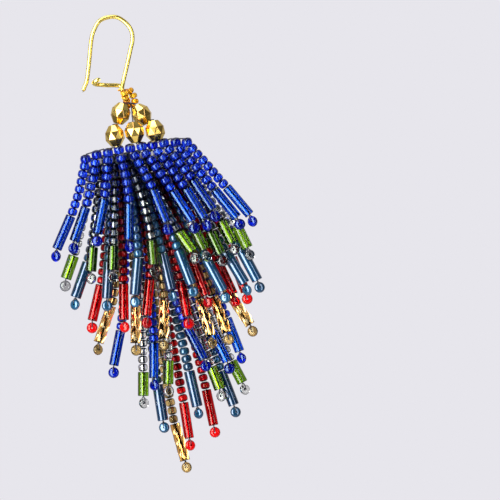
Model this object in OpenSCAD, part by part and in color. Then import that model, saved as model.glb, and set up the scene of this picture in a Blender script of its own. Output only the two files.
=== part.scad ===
// Tassel drop earring: a kidney ear wire, a small loop of seed beads, five faceted round beads
// and a brick-stitched triangle of seed beads from which ten rows of beaded strands hang.
// Millimetres. +X to the right as seen from the front, +Y away from the viewer, +Z up.
// The origin is under the arch of the ear wire, where the earring hangs.

/* [Ear wire] */
// Diameter of the wire
wire_d = 0.8; // [0.7:0.05:0.9]
// Clear gap between the two sides of the pinched eye
eye_gap = 0.75; // [0.7:0.05:0.9]
// Height of the ear wire from the underside of the arch to the middle of the eye's lowest bend
wire_drop = 14.25; // [14:0.05:14.5]
// Width of the ear wire between the middle of its pin tip and the middle of its leg at its widest
wire_w = 10.9; // [10.6:0.05:11.2]

/* [Hanging loop] */
// Width of the bead loop between the middles of its two sides
loop_w = 1.5; // [1.45:0.05:1.6]
// Height of the bead loop from the thread in the eye to the middle of its lowest bead
loop_h = 3.4; // [3.35:0.05:3.45]
// Thickness of the loop's string of seed beads
loop_bead_d = 1.2; // [1:0.05:1.2]

/* [Faceted beads] */
// Diameter of each faceted bead over its girdle
gold_bead_d = 3.7; // [3.5:0.05:3.75]
// Height of each faceted bead along its bore
gold_bead_h = 4; // [3.7:0.05:4.05]
// Clear space left between neighbouring faceted beads
gold_bead_gap = 0.1; // [0.1:0.05:0.3]
// Bore of each faceted bead
gold_bore_d = 0.9; // [0.7:0.05:1.2]
// Facets round each bead
gold_facets = 8; // [7:1:10]

/* [Thread] */
// Diameter of the beading thread
thread_d = 0.3; // [0.2:0.02:0.34]

/* [Stitched triangle] */
// Distance from bead to bead along a row
bead_pitch = 2.15; // [2.05:0.05:2.4]
// Thickness of a row of stitched seed beads
row_d = 1.7; // [1.5:0.05:1.8]
// Drop from one stitched row to the next
row_drop = 1.3; // [1.2:0.05:1.6]
// Step backwards from one stitched row to the next
row_back = 1.8; // [1.75:0.05:2.1]
// Height of the top row below the origin
top_row_z = 25; // [24.9:0.05:26]

/* [Strands] */
// Distance from seed bead to seed bead along a blue strand
blue_pitch = 1.45; // [1.4:0.01:1.5]
// Distance from seed bead to seed bead along a clear strand
clear_pitch = 1.5; // [1.45:0.01:1.55]
// Distance from seed bead to seed bead along a steel-blue strand
steel_pitch = 1.5; // [1.45:0.01:1.55]
// Distance from seed bead to seed bead along a red strand
red_pitch = 1.5; // [1.45:0.01:1.55]
// Distance from seed bead to seed bead along a gold strand
amber_pitch = 1.6; // [1.55:0.01:1.65]
// Thickness of a strand of small seed beads
strand_d = 1.6; // [1.4:0.05:1.65]
// Thickness of a strand of lustre seed beads
lustre_strand_d = 1.8; // [1.6:0.05:1.85]
// Gap from the strand's last seed bead to its bugle bead
bugle_gap = 0.1; // [0.1:0.05:0.3]

/* [Bugle beads] */
// Bore of every bugle bead
bugle_bore_d = 0.9; // [0.7:0.05:1.1]
// Diameter of a blue bugle bead
blue_bugle_d = 1.9; // [1.7:0.05:1.95]
// Length of a blue bugle bead
blue_bugle_len = 6.8; // [6:0.1:7]
// Diameter of a green bugle bead
green_bugle_d = 2.1; // [1.9:0.05:2.15]
// Length of a green bugle bead
green_bugle_len = 4.6; // [4:0.1:4.8]
// Diameter of a steel-blue bugle bead
steel_bugle_d = 2.1; // [1.9:0.05:2.15]
// Length of a steel-blue bugle bead
steel_bugle_len = 7; // [6:0.1:7.2]
// Diameter of a red bugle bead
red_bugle_d = 1.9; // [1.7:0.05:1.95]
// Length of a red bugle bead
red_bugle_len = 7; // [6:0.1:7.2]
// Width over the corners of a twisted gold bugle bead
gold_bugle_d = 2; // [1.8:0.05:2.05]
// Length of a twisted gold bugle bead
gold_bugle_len = 7.4; // [6:0.1:7.6]
// Turn of a twisted bugle bead from end to end
gold_bugle_twist = 200; // [90:10:300]

/* [End beads] */
// Outer diameter of the turned seed bead that closes a strand
end_bead_d = 2.1; // [1.9:0.05:2.15]
// Thickness of its glass, seen along its hole
end_bead_thick = 0.84; // [0.7:0.02:0.9]
// Gap from the bugle bead to the end bead
end_gap = 0.3; // [0.25:0.05:0.5]
// Share of its bugle's lean that an end bead keeps
end_hang = 0.45; // [0.4:0.05:1]

/* [Hidden] */
// The stitched triangle has ROWS rows of ROWS, ROWS - 1, ... 1 beads; the table of strands fits it.
ROWS = 10;
ROW_NUMBERS = [1:ROWS];
function row_name(base, k) = str(base, k < 10 ? "0" : "", k);
GOLD_NUMBERS = [1:5];

WIRE_SIDES = 10;
STRAND_SIDES = 8;
ROW_SIDES = 12;
THREAD_SIDES = 6;
ROUND = 48;

// Where the two halves of the earring meet: the thread crosses the eye along X, above its lowest bend.
eye_x = 0.11 * wire_w;
eye_r = (eye_gap + wire_d) / 2;
thread_r = thread_d / 2;
pivot_z = -wire_drop + wire_d / 2 + thread_r + 0.1;

// The loop of seed beads hangs from the right side of the eye and comes up again in front of it.
// It is open where the thread crosses the eye. Columns: across and back in loop widths, down in loop heights.
LOOP_PLACES = [
    [0.74, 0, 0], [1.1, 0.03, 0.2], [1.3, 0.07, 0.47], [1.34, 0.1, 0.74], [1.17, 0.12, 0.94],
    [0.8, 0.12, 1], [0.48, 0.06, 0.91], [0.37, -0.14, 0.7], [0.28, -0.66, 0.49], [0.22, -1.14, 0.27],
    [0.2, -1.33, 0.04]
];
LOOP_POINTS = [for (p = LOOP_PLACES) [eye_x + p.x * loop_w, p.y * loop_w, pivot_z - p.z * loop_h]];

// The head leans towards the viewer, so that the fringe behind it balances.
head_x = 2.35;
base_x = 2.2;
base_y = -5.2;
gold_pitch = gold_bead_d + gold_bead_gap;
gold_rise = gold_bead_h + gold_bead_gap;
gold_row_z = -top_row_z + row_d / 2 + 0.05 + gold_bead_h / 2;
head_back = 1.9;
gold_row_y = base_y + head_back;

// Places of the faceted beads from the middle of the lower row. The upper two lean towards the loop.
// Columns: across and back in bead pitches, up in bead rises, turn and lean to the right in degrees.
GOLD_PLACES = [
    [-0.56, 0.47, 0.99, 10, 24],
    [0.46, 0.47, 0.79, 35, -24],
    [-1, 0, 0, 28, 0],
    [0.01, -0.29, 0, 0, 0],
    [1.02, -0.03, -0.07, 17, 0]
];
function gold_place(b) = let (g = GOLD_PLACES[b - 1])
    [head_x + g.x * gold_pitch, gold_row_y + g.y * gold_pitch, gold_row_z + g.z * gold_rise];
function gold_axis(b) = let (lean = GOLD_PLACES[b - 1][4]) [sin(lean), 0, cos(lean)];

// Kinds of strand. Columns: seed pitch, strand thickness, bugle diameter, bugle length, colour.
BLUE = [blue_pitch, strand_d, blue_bugle_d, blue_bugle_len, "mediumblue"];
GREEN = [clear_pitch, strand_d, green_bugle_d, green_bugle_len, "yellowgreen"];
STEEL = [steel_pitch, lustre_strand_d, steel_bugle_d, steel_bugle_len, "steelblue"];
RED = [red_pitch, strand_d, red_bugle_d, red_bugle_len, "firebrick"];
GOLD = [amber_pitch, strand_d, gold_bugle_d, gold_bugle_len, "goldenrod"];
KINDS = [BLUE, GREEN, STEEL, RED, GOLD];
SEED_COLOURS = ["mediumblue", "lightslategray", "steelblue", "firebrick", "darkgoldenrod"];
function kind(k) = KINDS[(k - 1) % 5];
function seed_colour(k) = SEED_COLOURS[(k - 1) % 5];
function is_twisted(k) = (k - 1) % 5 == 4;

// Strands from left to right, one list for each fringe row.
// Columns: seed beads, lean of the string, lean of the bugle, lean towards the viewer, in degrees.
STRANDS = [
    [[8, -22, -32, 3], [7, -20, -28, 3], [6, -13, -20, 3], [7, 2, -9, 3], [6, 20, 13, 5],
     [7, 26, 24, 5], [7, 28, 23, 4], [6, 29, 25, 5], [8, 30, 30, 3], [8, 31, 31, 3]],
    [[12, -20, -28, 3], [11, -16, -13, 5], [11, -10, -11, 5], [11, 8, -4, 3], [11, 19, 26, 6],
     [11, 22, 18, 5], [12, 23, 16, 5], [11, 26, 18, 5], [12, 26, 17, 3]],
    [[12, -16, -28, 3], [12, -10, -12, 4], [12, 1, -14, 3], [12, 9, 5, 3], [12, 12, 12, 3],
     [14, 18, 19, 4], [14, 23, 22, 4], [14, 25, 19, 3]],
    [[14, -12, -22, 3], [14, -6, -8, 3], [14, 2, -14, 3], [15, 11, 2, 3], [13, 15, 12, 4],
     [14, 21, 16, 5], [14, 23, 12, 2]],
    [[15, -10, -28, 3], [15, -4, -9, 3], [15, 4, -10, 3], [16, 14, 8, 5], [16, 15, 12, 3],
     [16, 17, 25, 3]],
    [[19, -9, -20, 3], [21, -1, -9, 3], [20, 8, 19, 5], [21, 12, 18, 5], [20, 15, 12, 3]],
    [[23, -4, -9, 3], [22, 1, -10, 3], [24, 10, 12, 3], [24, 13, 19, 3]],
    [[24, -2, 0, 3], [23, 5, 4, 3], [24, 11, 12, 3]],
    [[26, 3, 0, 3], [25, 7, 3, 3]],
    [[26, -2, 7, 3]]
];
strand_bend = 1.2;
strand_ring_step = 4;

function row_count(k) = ROWS + 1 - k;
function row_y(k) = base_y + (k - 1) * row_back;
function row_z(k) = -top_row_z - (k - 1) * row_drop;
function root(k, j) = [base_x + (j - (row_count(k) + 1) / 2) * bead_pitch, row_y(k), row_z(k)];

// Unit vector of a hanging line that leans sideways and towards the viewer.
function hang(lean, out) = [sin(lean) * cos(out), -sin(out), -cos(lean) * cos(out)];

// Middle line of a strand: its lean changes evenly from the root towards the lean of its bugle.
function strand_line(k, j) =
    let (
        s = STRANDS[k - 1][j - 1],
        length = s[0] * kind(k)[0],
        rings = max(3, ceil(length / strand_ring_step)),
        step = length / rings,
        turn = strand_bend * (s[2] - s[1])
    )
    [for (i = 0, p = root(k, j);
          i <= rings;
          p = p + step * hang(s[1] + turn * ((i + 0.5) / rings - 0.5), s[3] * (i + 0.5) / rings),
          i = i + 1) p];
function last(list) = list[len(list) - 1];

// Ear wire: chosen places along its middle, from the free tip over the arch, down to the eye
// and along the catch arm to its hook. The eye lies square to the arch.
// Columns: across in wire widths, back in eye radii, up in wire drops.
eye_top_z = -wire_drop + eye_r;
function wire_point(p) = [p.x * wire_w, p.y * eye_r, p.z * wire_drop];
WIRE_TOP = [
    [-0.57, 0, -0.885], [-0.525, 0, -0.825], [-0.475, 0, -0.755], [-0.395, 0, -0.545],
    [-0.285, 0, -0.225], [-0.2, 0, -0.09], [-0.085, 0, 0.007], [0.083, 0, 0.035],
    [0.24, 0, 0.007], [0.376, 0, -0.098], [0.431, 0, -0.21], [0.418, 0, -0.325],
    [0.358, 0, -0.443], [0.266, 0, -0.625], [0.183, 0, -0.78], [0.138, -0.3, -0.87]
];
WIRE_EYE = [for (a = [0:30:180]) [eye_x, -eye_r * cos(a), eye_top_z - eye_r * sin(a)]];
WIRE_ARM = [
    [0.087, 1.15, -0.895], [0.01, 1.15, -0.874], [-0.138, 0.77, -0.856], [-0.265, 0.26, -0.835],
    [-0.33, -0.39, -0.825], [-0.358, -1.35, -0.807], [-0.326, -2.2, -0.79], [-0.257, -2.45, -0.775]
];
WIRE_POINTS = concat(
    [for (p = WIRE_TOP) wire_point(p)],
    WIRE_EYE,
    [for (p = WIRE_ARM) wire_point(p)]
);

function unit(v) = v / norm(v);
function spline_at(p, i, t) =
    let (n = len(p), a = p[max(i - 1, 0)], b = p[i], c = p[min(i + 1, n - 1)], d = p[min(i + 2, n - 1)])
    0.5 * (2 * b + (c - a) * t + (2 * a - 5 * b + 4 * c - d) * t * t + (3 * b - a - 3 * c + d) * t * t * t);
function smooth_line(p, steps) =
    concat([for (i = [0:len(p) - 2], s = [0:steps - 1]) spline_at(p, i, s / steps)], [last(p)]);

// Frames along a line, each turned as little as possible from the one before it.
function tangents(p) = [for (i = [0:len(p) - 1]) unit(p[min(i + 1, len(p) - 1)] - p[max(i - 1, 0)])];
function square_to(t, u) = unit(u - (u * t) * t);
function side_vectors(t, first) =
    let (end = len(t) - 1)
    [for (i = 0, u = square_to(t[0], first); i <= end; i = i + 1, u = square_to(t[min(i, end)], u)) u];

// Closed tube of a given radius along a line.
module tube(line, r, sides, first) {
    t = tangents(line);
    u = side_vectors(t, first);
    n = len(line);
    points = [for (i = [0:n - 1], k = [0:sides - 1])
        line[i] + r * (cos(360 * k / sides) * u[i] + sin(360 * k / sides) * cross(t[i], u[i]))];
    walls = [for (i = [0:n - 2], k = [0:sides - 1])
        let (a = i * sides + k, b = i * sides + (k + 1) % sides) [a, a + sides, b + sides, b]];
    start_cap = [for (k = [0:sides - 1]) k];
    end_cap = [for (k = [sides - 1:-1:0]) (n - 1) * sides + k];
    polyhedron(points, concat(walls, [start_cap, end_cap]));
}

module ear_wire() {
    color("gold") tube(smooth_line(WIRE_POINTS, 2), wire_d / 2, WIRE_SIDES, [0, 1, 0]);
}

// The string of small seed beads beside, below and before the eye.
module hanging_loop() {
    color("orange") tube(smooth_line(LOOP_POINTS, 2), loop_bead_d / 2, WIRE_SIDES, [0, 1, 0]);
}

// Faceted bead: flat ends, a band of trapezoids, a zigzag girdle and a second band.
// Columns of its bands: share of the radius, share of half the height, share of a step that it is turned.
module faceted_ball(d, h, sides) {
    bands = [[0.5, 1, 0], [1, 0.36, 0], [1, -0.36, 0.5], [0.5, -1, 0.5]];
    points = [for (b = bands, k = [0:sides - 1])
        let (a = 360 * (k + b[2]) / sides)
            [b[0] * d / 2 * cos(a), b[0] * d / 2 * sin(a), b[1] * h / 2]];
    top_band = [for (k = [0:sides - 1])
        [k, (k + 1) % sides, sides + (k + 1) % sides, sides + k]];
    girdle_down = [for (k = [0:sides - 1]) [sides + k, sides + (k + 1) % sides, 2 * sides + k]];
    girdle_up = [for (k = [0:sides - 1])
        [sides + (k + 1) % sides, 2 * sides + (k + 1) % sides, 2 * sides + k]];
    low_band = [for (k = [0:sides - 1])
        [2 * sides + k, 2 * sides + (k + 1) % sides, 3 * sides + (k + 1) % sides, 3 * sides + k]];
    top_end = [for (k = [sides - 1:-1:0]) k];
    low_end = [for (k = [0:sides - 1]) 3 * sides + k];
    polyhedron(points, concat(top_band, girdle_down, girdle_up, low_band, [top_end, low_end]));
}

module gold_bead(b) {
    color("darkgoldenrod") translate(gold_place(b)) rotate([0, GOLD_PLACES[b - 1][4], 0]) difference() {
        rotate([0, 0, GOLD_PLACES[b - 1][3]]) faceted_ball(gold_bead_d, gold_bead_h, gold_facets);
        cylinder(d = gold_bore_d, h = 2 * gold_bead_h, center = true, $fn = ROUND);
    }
}

// One row of the stitched triangle and the strands that hang from it, up to their bugles.
module fringe_row(k) {
    color(seed_colour(k)) union() {
        translate([base_x, row_y(k), row_z(k)]) rotate([0, 90, 0])
            cylinder(d = row_d, h = (row_count(k) - 1) * bead_pitch + row_d, center = true, $fn = ROW_SIDES);
        for (j = [1:row_count(k)])
            tube(strand_line(k, j), kind(k)[1] / 2, STRAND_SIDES, [0, 1, 0]);
    }
}

// Places its children at the end of a strand's string, hanging along the bugle's own lean.
module at_strand_end(k, j) {
    s = STRANDS[k - 1][j - 1];
    translate(last(strand_line(k, j))) rotate([0, -s[2], 0]) rotate([-s[3], 0, 0]) children();
}

module bugle(k) {
    d = kind(k)[2];
    length = kind(k)[3];
    difference() {
        translate([0, 0, -bugle_gap - length])
            if (is_twisted(k))
                linear_extrude(height = length, twist = gold_bugle_twist, slices = 8)
                    circle(d = d, $fn = 6);
            else
                cylinder(d = d, h = length, $fn = ROUND);
        translate([0, 0, -2 * length]) cylinder(d = bugle_bore_d, h = 3 * length, $fn = ROUND);
    }
}

module bugles_row(k) {
    color(kind(k)[4])
        for (j = [1:row_count(k)])
            at_strand_end(k, j) bugle(k);
}

// Places its children at the lower end of a bugle, hanging more steeply than the bugle.
module at_bugle_end(k, j) {
    s = STRANDS[k - 1][j - 1];
    translate(last(strand_line(k, j)) + (bugle_gap + kind(k)[3]) * hang(s[2], s[3]))
        rotate([0, -end_hang * s[2], 0]) rotate([-s[3], 0, 0]) children();
}

// The end bead lies across the strand, so that its hole shows; a different turn for each strand.
end_bead_ring_r = (end_bead_d - end_bead_thick) / 2;
end_bead_drop = end_gap + end_bead_d / 2;
function end_bead_turn(k, j) = ((k * 37 + j * 53) % 80) - 40;

module end_beads_row(k) {
    color(seed_colour(k))
        for (j = [1:row_count(k)])
            at_bugle_end(k, j)
                translate([0, 0, -end_bead_drop]) rotate([0, 0, end_bead_turn(k, j)]) rotate([90, 0, 0])
                    rotate_extrude($fn = ROUND)
                        translate([end_bead_ring_r, 0]) circle(d = end_bead_thick, $fn = ROUND);
}

// Bare thread of one strand: down through the bugle and once through the end bead.
thread_tail_d = 0.87 * thread_d;
thread_turn_d = 0.7 * thread_d;
module strand_thread(k, j) {
    through = bugle_gap + kind(k)[3];
    turn_r = (end_bead_thick + thread_turn_d) / 2 + 0.04;
    turn_z = -end_bead_drop + end_bead_ring_r;
    at_strand_end(k, j)
        translate([0, 0, -through]) cylinder(d = thread_d, h = through - 0.02, $fn = ROUND);
    at_bugle_end(k, j) {
        translate([0, 0, turn_z + turn_r])
            cylinder(d = thread_tail_d, h = -turn_z - turn_r + 0.05, $fn = ROUND);
        translate([0, 0, turn_z]) rotate([0, 0, end_bead_turn(k, j)]) rotate([0, 90, 0])
            rotate([90, 0, 0]) rotate([90, 0, 0])
                rotate_extrude($fn = ROUND) translate([turn_r, 0]) circle(d = thread_turn_d, $fn = ROUND);
    }
}

// Bare thread of the head: across the eye, through the five faceted beads and along the top row.
bore_reach = gold_bead_h / 2 + 0.15;
function bore_top(b) = gold_place(b) + bore_reach * gold_axis(b);
function bore_end(b) = gold_place(b) - bore_reach * gold_axis(b);
top_row_top = -top_row_z + row_d / 2 + thread_r + 0.03;
function on_top_row(share) = [base_x + share * (ROWS - 1) * bead_pitch / 2, base_y, top_row_top];
function by_loop(across, ahead, down) =
    [eye_x + across * loop_w, -loop_bead_d / 2 - ahead, pivot_z - down * loop_h];
loop_end = last(LOOP_POINTS);
loop_end_thread = [
    [eye_x - 0.55, 0, pivot_z], [eye_x - 0.74, -0.2, pivot_z + 0.02], [eye_x - 0.74, -1.2, pivot_z + 0.05],
    [eye_x - 0.5, -1.75, pivot_z + 0.12], loop_end + [-0.12, -0.02, 0.1], loop_end + [0, 0, -0.02]
];
behind_row = [0, 0.75, -0.12];
below_bead_2 = bore_end(2) - 0.8 * gold_axis(2);
HEAD_THREADS = [
    loop_end_thread,
    [on_top_row(-0.98), on_top_row(-0.62), on_top_row(-0.62) + behind_row, bore_end(3) + [-0.9, -0.3, -0.05],
     bore_end(3) + [0, 0, -0.05], bore_top(3), bore_top(3) + [0.4, 0.85, 0.06], bore_end(1), bore_top(1),
     by_loop(0.67, 0.6, 0.81), by_loop(1.2, 0.15, 0.85), bore_top(2), below_bead_2,
     below_bead_2 + [0.1, -0.15, 0.15], bore_top(5) + [-0.5, 0.86, 0.06], bore_top(5),
     bore_end(5) + [0, 0, -0.05], bore_end(5) + [0.9, -0.35, -0.05], on_top_row(0.62) + behind_row,
     on_top_row(0.7), on_top_row(0.98)],
    [bore_end(4) + [0, 0.05, -0.05], bore_top(4), bore_top(4) + [0.07, 0.67, 1.3],
     bore_top(4) + [0.12, 1.82, 2.6], by_loop(0.8, 0.02, 0.9)]
];

module thread() {
    color("black") {
        translate([eye_x - 0.7, 0, pivot_z]) rotate([0, 90, 0])
            cylinder(d = thread_d, h = LOOP_POINTS[0].x - eye_x + 0.7, $fn = ROUND);
        for (line = HEAD_THREADS) tube(line, thread_r, THREAD_SIDES, [0, 1, 0]);
        for (k = ROW_NUMBERS, j = [1:row_count(k)]) strand_thread(k, j);
    }
}

ear_wire();
hanging_loop();
thread();
for (b = GOLD_NUMBERS)
    gold_bead(b);
for (k = ROW_NUMBERS) {
    fringe_row(k);
    bugles_row(k);
    end_beads_row(k);
}
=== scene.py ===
"""Looks of a beaded tassel earring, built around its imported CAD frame.

The earring hangs from a kidney ear wire: a small loop of seed beads, five faceted metal-coated beads, a
brick-stitched triangle of seed beads and ten rows of strands, each ending in a bugle bead and a seed bead.
Sizes are in millimetres in the classes and become metres where a mesh is made.
"""

import logging
import random
from dataclasses import dataclass, field
from enum import Enum
from math import atan2, cos, pi, radians, sin, tau
from typing import Callable, Sequence

import bmesh
import bpy
from mathutils import Matrix, Vector


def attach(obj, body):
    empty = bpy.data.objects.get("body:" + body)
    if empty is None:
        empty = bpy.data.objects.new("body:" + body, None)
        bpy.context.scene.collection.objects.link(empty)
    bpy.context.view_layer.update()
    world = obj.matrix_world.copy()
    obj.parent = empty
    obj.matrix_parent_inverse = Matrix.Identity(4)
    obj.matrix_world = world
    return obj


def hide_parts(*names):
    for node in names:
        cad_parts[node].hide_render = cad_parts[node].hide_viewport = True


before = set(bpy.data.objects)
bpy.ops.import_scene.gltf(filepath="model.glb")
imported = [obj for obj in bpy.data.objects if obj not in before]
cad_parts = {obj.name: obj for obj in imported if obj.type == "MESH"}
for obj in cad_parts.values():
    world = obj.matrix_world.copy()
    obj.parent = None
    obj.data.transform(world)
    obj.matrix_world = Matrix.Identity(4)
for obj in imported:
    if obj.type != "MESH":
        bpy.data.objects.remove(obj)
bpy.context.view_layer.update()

LOG = logging.getLogger("tassel_earring")
MM = 0.001
SEED = 5810
LEVEL = 1e-6
# Gap above a bugle bead; how much of its lean the end bead keeps; how far a string bends towards that lean.
BUGLE_GAP = 0.1
END_HANG = 0.45
STRING_BEND = 1.2
# How much the seed beads differ: ranges of width and height as shares, largest tilt in degrees.
WIDTHS = (0.96, 1.03)
HEIGHTS = (0.95, 1.0)
TILT = 4.0

# Numbers that a bead's mesh carries: depth of its colour (random, lowered as painted shade on the inner beads of the
# back rows), place along its hole, streaks round its hole.
TONE = "tone"
ALONG = "along"
STREAK = "streak"

Triple = tuple[float, float, float]
Piece = bpy.types.Object
Socket = bpy.types.NodeSocket


class Body(Enum):
    """The rigid bodies of the frame that pieces ride on."""

    EAR_WIRE = "ear_wire"
    DROP = "drop"


# ---------------- finishes


class NodeSheet:
    """The nodes of a new material or world, with short calls to add to them.

    The calls name a node's sockets with underscores for spaces. What goes into a socket is another one, which is
    linked to it, or a value.
    """

    def __init__(self, owner: bpy.types.Material | bpy.types.World, shader: str = "Principled BSDF") -> None:
        """Turns the nodes on.

        Args:
            owner: The material or world.
            shader: Name of its main shader's node.
        """
        owner.use_nodes = True
        self.tree: bpy.types.NodeTree = owner.node_tree
        self.shader: bpy.types.Node = self.tree.nodes[shader]

    def put(self, source: object, target: Socket) -> None:
        """Fills one socket.

        Args:
            source: Another socket or a value.
            target: The socket to fill.
        """
        if isinstance(source, Socket):
            self.tree.links.new(source, target)
        else:
            target.default_value = source

    def fill(self, node: bpy.types.Node, **sources: object) -> bpy.types.Node:
        """Fills sockets of a node.

        Args:
            node: The node.
            **sources: What goes into its sockets.

        Returns:
            The node.
        """
        for name, source in sources.items():
            self.put(source, node.inputs[name.replace("_", " ")])
        return node

    def add(self, kind: str, **sources: object) -> bpy.types.Node:
        """Adds a node of a kind, fills sockets of it and returns it."""
        return self.fill(self.tree.nodes.new(kind), **sources)

    def set(self, **sources: object) -> None:
        """Fills sockets of the main shader."""
        self.fill(self.shader, **sources)

    def maths(self, operation: str, *sources: Socket | float) -> Socket:
        """Adds a sum of sockets and numbers.

        Args:
            operation: The kind of sum.
            *sources: What goes into it.

        Returns:
            The result.
        """
        node = self.add("ShaderNodeMath")
        node.operation = operation
        for source, target in zip(sources, node.inputs):
            self.put(source, target)
        return node.outputs["Value"]

    def span(self, value: Socket, smooth: bool = False, **limits: float) -> Socket:
        """Stretches a value from one range to another.

        Args:
            value: The value.
            smooth: Whether it eases in and out.
            **limits: The ends of the ranges, where they aren't 0 and 1.

        Returns:
            The stretched value.
        """
        node = self.add("ShaderNodeMapRange", Value=value, **limits)
        if smooth:
            node.interpolation_type = "SMOOTHSTEP"
        return node.outputs["Result"]

    def noise(self, scale: float, detail: float = 2.0, roughness: float = 0.5) -> Socket:
        """Adds a noise on the object's own coordinates.

        Args:
            scale: Cells per metre.
            detail: Octaves.
            roughness: How much the finer octaves weigh.

        Returns:
            The noise.
        """
        place = self.add("ShaderNodeTexCoord").outputs["Object"]
        node = self.add("ShaderNodeTexNoise", Vector=place, Scale=scale, Detail=detail, Roughness=roughness)
        return node.outputs["Fac"]

    def bump(self, height: Socket, strength: float, distance: float) -> None:
        """Bumps the main shader's surface.

        Args:
            height: The height.
            strength: Share of the bump.
            distance: Height of a full step, in millimetres.
        """
        node = self.add("ShaderNodeBump", Height=height, Strength=strength, Distance=distance * MM)
        self.set(Normal=node.outputs["Normal"])

    def ramp(self, factor: Socket, stops: Sequence[tuple[float, Triple]]) -> Socket:
        """Adds a colour ramp.

        Args:
            factor: What picks the colour.
            stops: Places from 0 to 1, in order, with their colours.

        Returns:
            The colour.
        """
        node = self.add("ShaderNodeValToRGB", Fac=factor)
        bar = node.color_ramp
        while len(bar.elements) < len(stops):
            bar.elements.new(0.5)
        for element, (at, colour) in zip(bar.elements, stops):
            element.position = at
            element.color = (*colour, 1.0)
        return node.outputs["Color"]

    def stored(self, name: str) -> Socket:
        """Reads a number that the mesh carries.

        Args:
            name: The number's name.

        Returns:
            The number.
        """
        node = self.add("ShaderNodeAttribute")
        node.attribute_name = name
        return node.outputs["Fac"]

    def blend(self, share: Socket, first: Socket, second: Triple) -> Socket:
        """Blends two colours.

        Args:
            share: Share of the second colour.
            first: The first colour.
            second: The second colour.

        Returns:
            The blended colour.
        """
        node = self.add("ShaderNodeMix")
        node.data_type = "RGBA"
        return self.fill(node, Factor=share, A=first, B=(*second, 1.0)).outputs["Result"]

    def fade(self, colour: Socket, ends: Triple, start: float) -> Socket:
        """Blends a colour towards another near the two ends of a bead.

        Args:
            colour: The colour of the middle.
            ends: The colour at the ends.
            start: Where the blend starts, from 0 in the middle to 1 at the ends.

        Returns:
            The blended colour.
        """
        size = self.maths("ABSOLUTE", self.stored(ALONG))
        return self.blend(self.span(size, smooth=True, From_Min=start, From_Max=(1 + start) / 2), colour, ends)


@dataclass(frozen=True)
class Finish:
    """A surface finish with the record's slot that it stands for."""

    name: str
    slot: str

    def material(self) -> bpy.types.Material:
        """Returns the finish's material, made at its first use."""
        made = bpy.data.materials.get(self.name)
        if made is None:
            made = bpy.data.materials.new(self.name)
            self.dress(NodeSheet(made))
        return made

    def dress(self, sheet: NodeSheet) -> None:
        """Sets the material's nodes up."""
        raise NotImplementedError


@dataclass(frozen=True)
class TwoToneFinish(Finish):
    """A finish whose colour lies between a dark and a light tone."""

    dark: Triple
    light: Triple


@dataclass(frozen=True)
class GlassFinish(TwoToneFinish):
    """Coloured clear glass, whose depth of colour differs from bead to bead."""

    sheen: Triple
    fade_start: float = 0.5
    roughness: float = 0.03
    ripple: float = 0.08
    clear: float = 1.0
    ior: float = 1.52

    def dress(self, sheet: NodeSheet) -> None:
        """Sets up glass that is darker towards the ends of the bead, as painted shade."""
        colour = sheet.ramp(sheet.stored(TONE), [(0.0, self.dark), (1.0, self.light)])
        # The bead's ends blend to half its dark tone: painted shade where strung beads meet.
        deep = tuple(0.5 * c for c in self.dark)
        sheet.set(Base_Color=sheet.fade(colour, deep, self.fade_start), Specular_Tint=(*self.sheen, 1.0))
        sheet.set(Transmission_Weight=self.clear, Roughness=self.roughness, IOR=self.ior)
        sheet.bump(sheet.noise(scale=1400.0), self.ripple, distance=0.04)


@dataclass(frozen=True)
class LiningFinish(Finish):
    """Bright lining on the wall of a bead's hole, in streaks, with painted shade towards the hole's mouths."""

    colour: Triple
    roughness: float
    fade_start: float = 0.45
    streak: float = 0.12
    wear: float = 0.4
    # Colour of the painted shade at the hole's mouths.
    mouth: Triple = (0.02, 0.02, 0.02)

    def dress(self, sheet: NodeSheet) -> None:
        """Sets up metal with dull streaks that the grain breaks up."""
        grain = sheet.noise(scale=2600.0, detail=3.0)
        dull = tuple(self.streak * c for c in self.colour)
        worn = sheet.maths("MULTIPLY_ADD", grain, self.wear, sheet.stored(STREAK))
        colour = sheet.ramp(worn, [(0.5, self.colour), (0.8, dull)])
        rough = sheet.span(grain, To_Min=0.5 * self.roughness, To_Max=1.6 * self.roughness)
        # Near the hole's mouths the lining blends to the mouth colour: painted shade.
        sheet.set(Base_Color=sheet.fade(colour, self.mouth, self.fade_start), Metallic=1.0, Roughness=rough)
        sheet.bump(grain, strength=0.3, distance=0.04)


@dataclass(frozen=True)
class LustreFinish(TwoToneFinish):
    """Opaque glass with a metallic lustre under its gloss."""

    metal: float = 0.5
    roughness: float = 0.22
    coat_roughness: float = 0.04

    def dress(self, sheet: NodeSheet) -> None:
        """Sets up coated half metal that is cloudy within each bead."""
        cloud = sheet.noise(scale=1100.0, detail=3.0)
        mixed = sheet.span(sheet.maths("ADD", sheet.stored(TONE), cloud), From_Max=2.0)
        colour = sheet.ramp(mixed, [(0.25, self.dark), (0.75, self.light)])
        sheet.set(Base_Color=colour, Metallic=self.metal, Roughness=self.roughness)
        sheet.set(Coat_Weight=1.0, Coat_Roughness=self.coat_roughness, Coat_IOR=1.5)
        sheet.bump(cloud, strength=0.2, distance=0.04)


@dataclass(frozen=True)
class GoldFinish(Finish):
    """Polished gold-coloured metal with faint wear."""

    bright: Triple
    deep: Triple
    roughness: float
    grain: float

    def dress(self, sheet: NodeSheet) -> None:
        """Sets up metal with cloudy colour and polish."""
        cloud = sheet.noise(self.grain, detail=4.0, roughness=0.6)
        colour = sheet.ramp(cloud, [(0.3, self.deep), (0.65, self.bright)])
        rough = sheet.span(cloud, To_Min=0.8 * self.roughness, To_Max=1.25 * self.roughness)
        sheet.set(Base_Color=colour, Metallic=1.0, Roughness=rough)
        sheet.bump(cloud, strength=0.04, distance=0.02)


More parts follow.
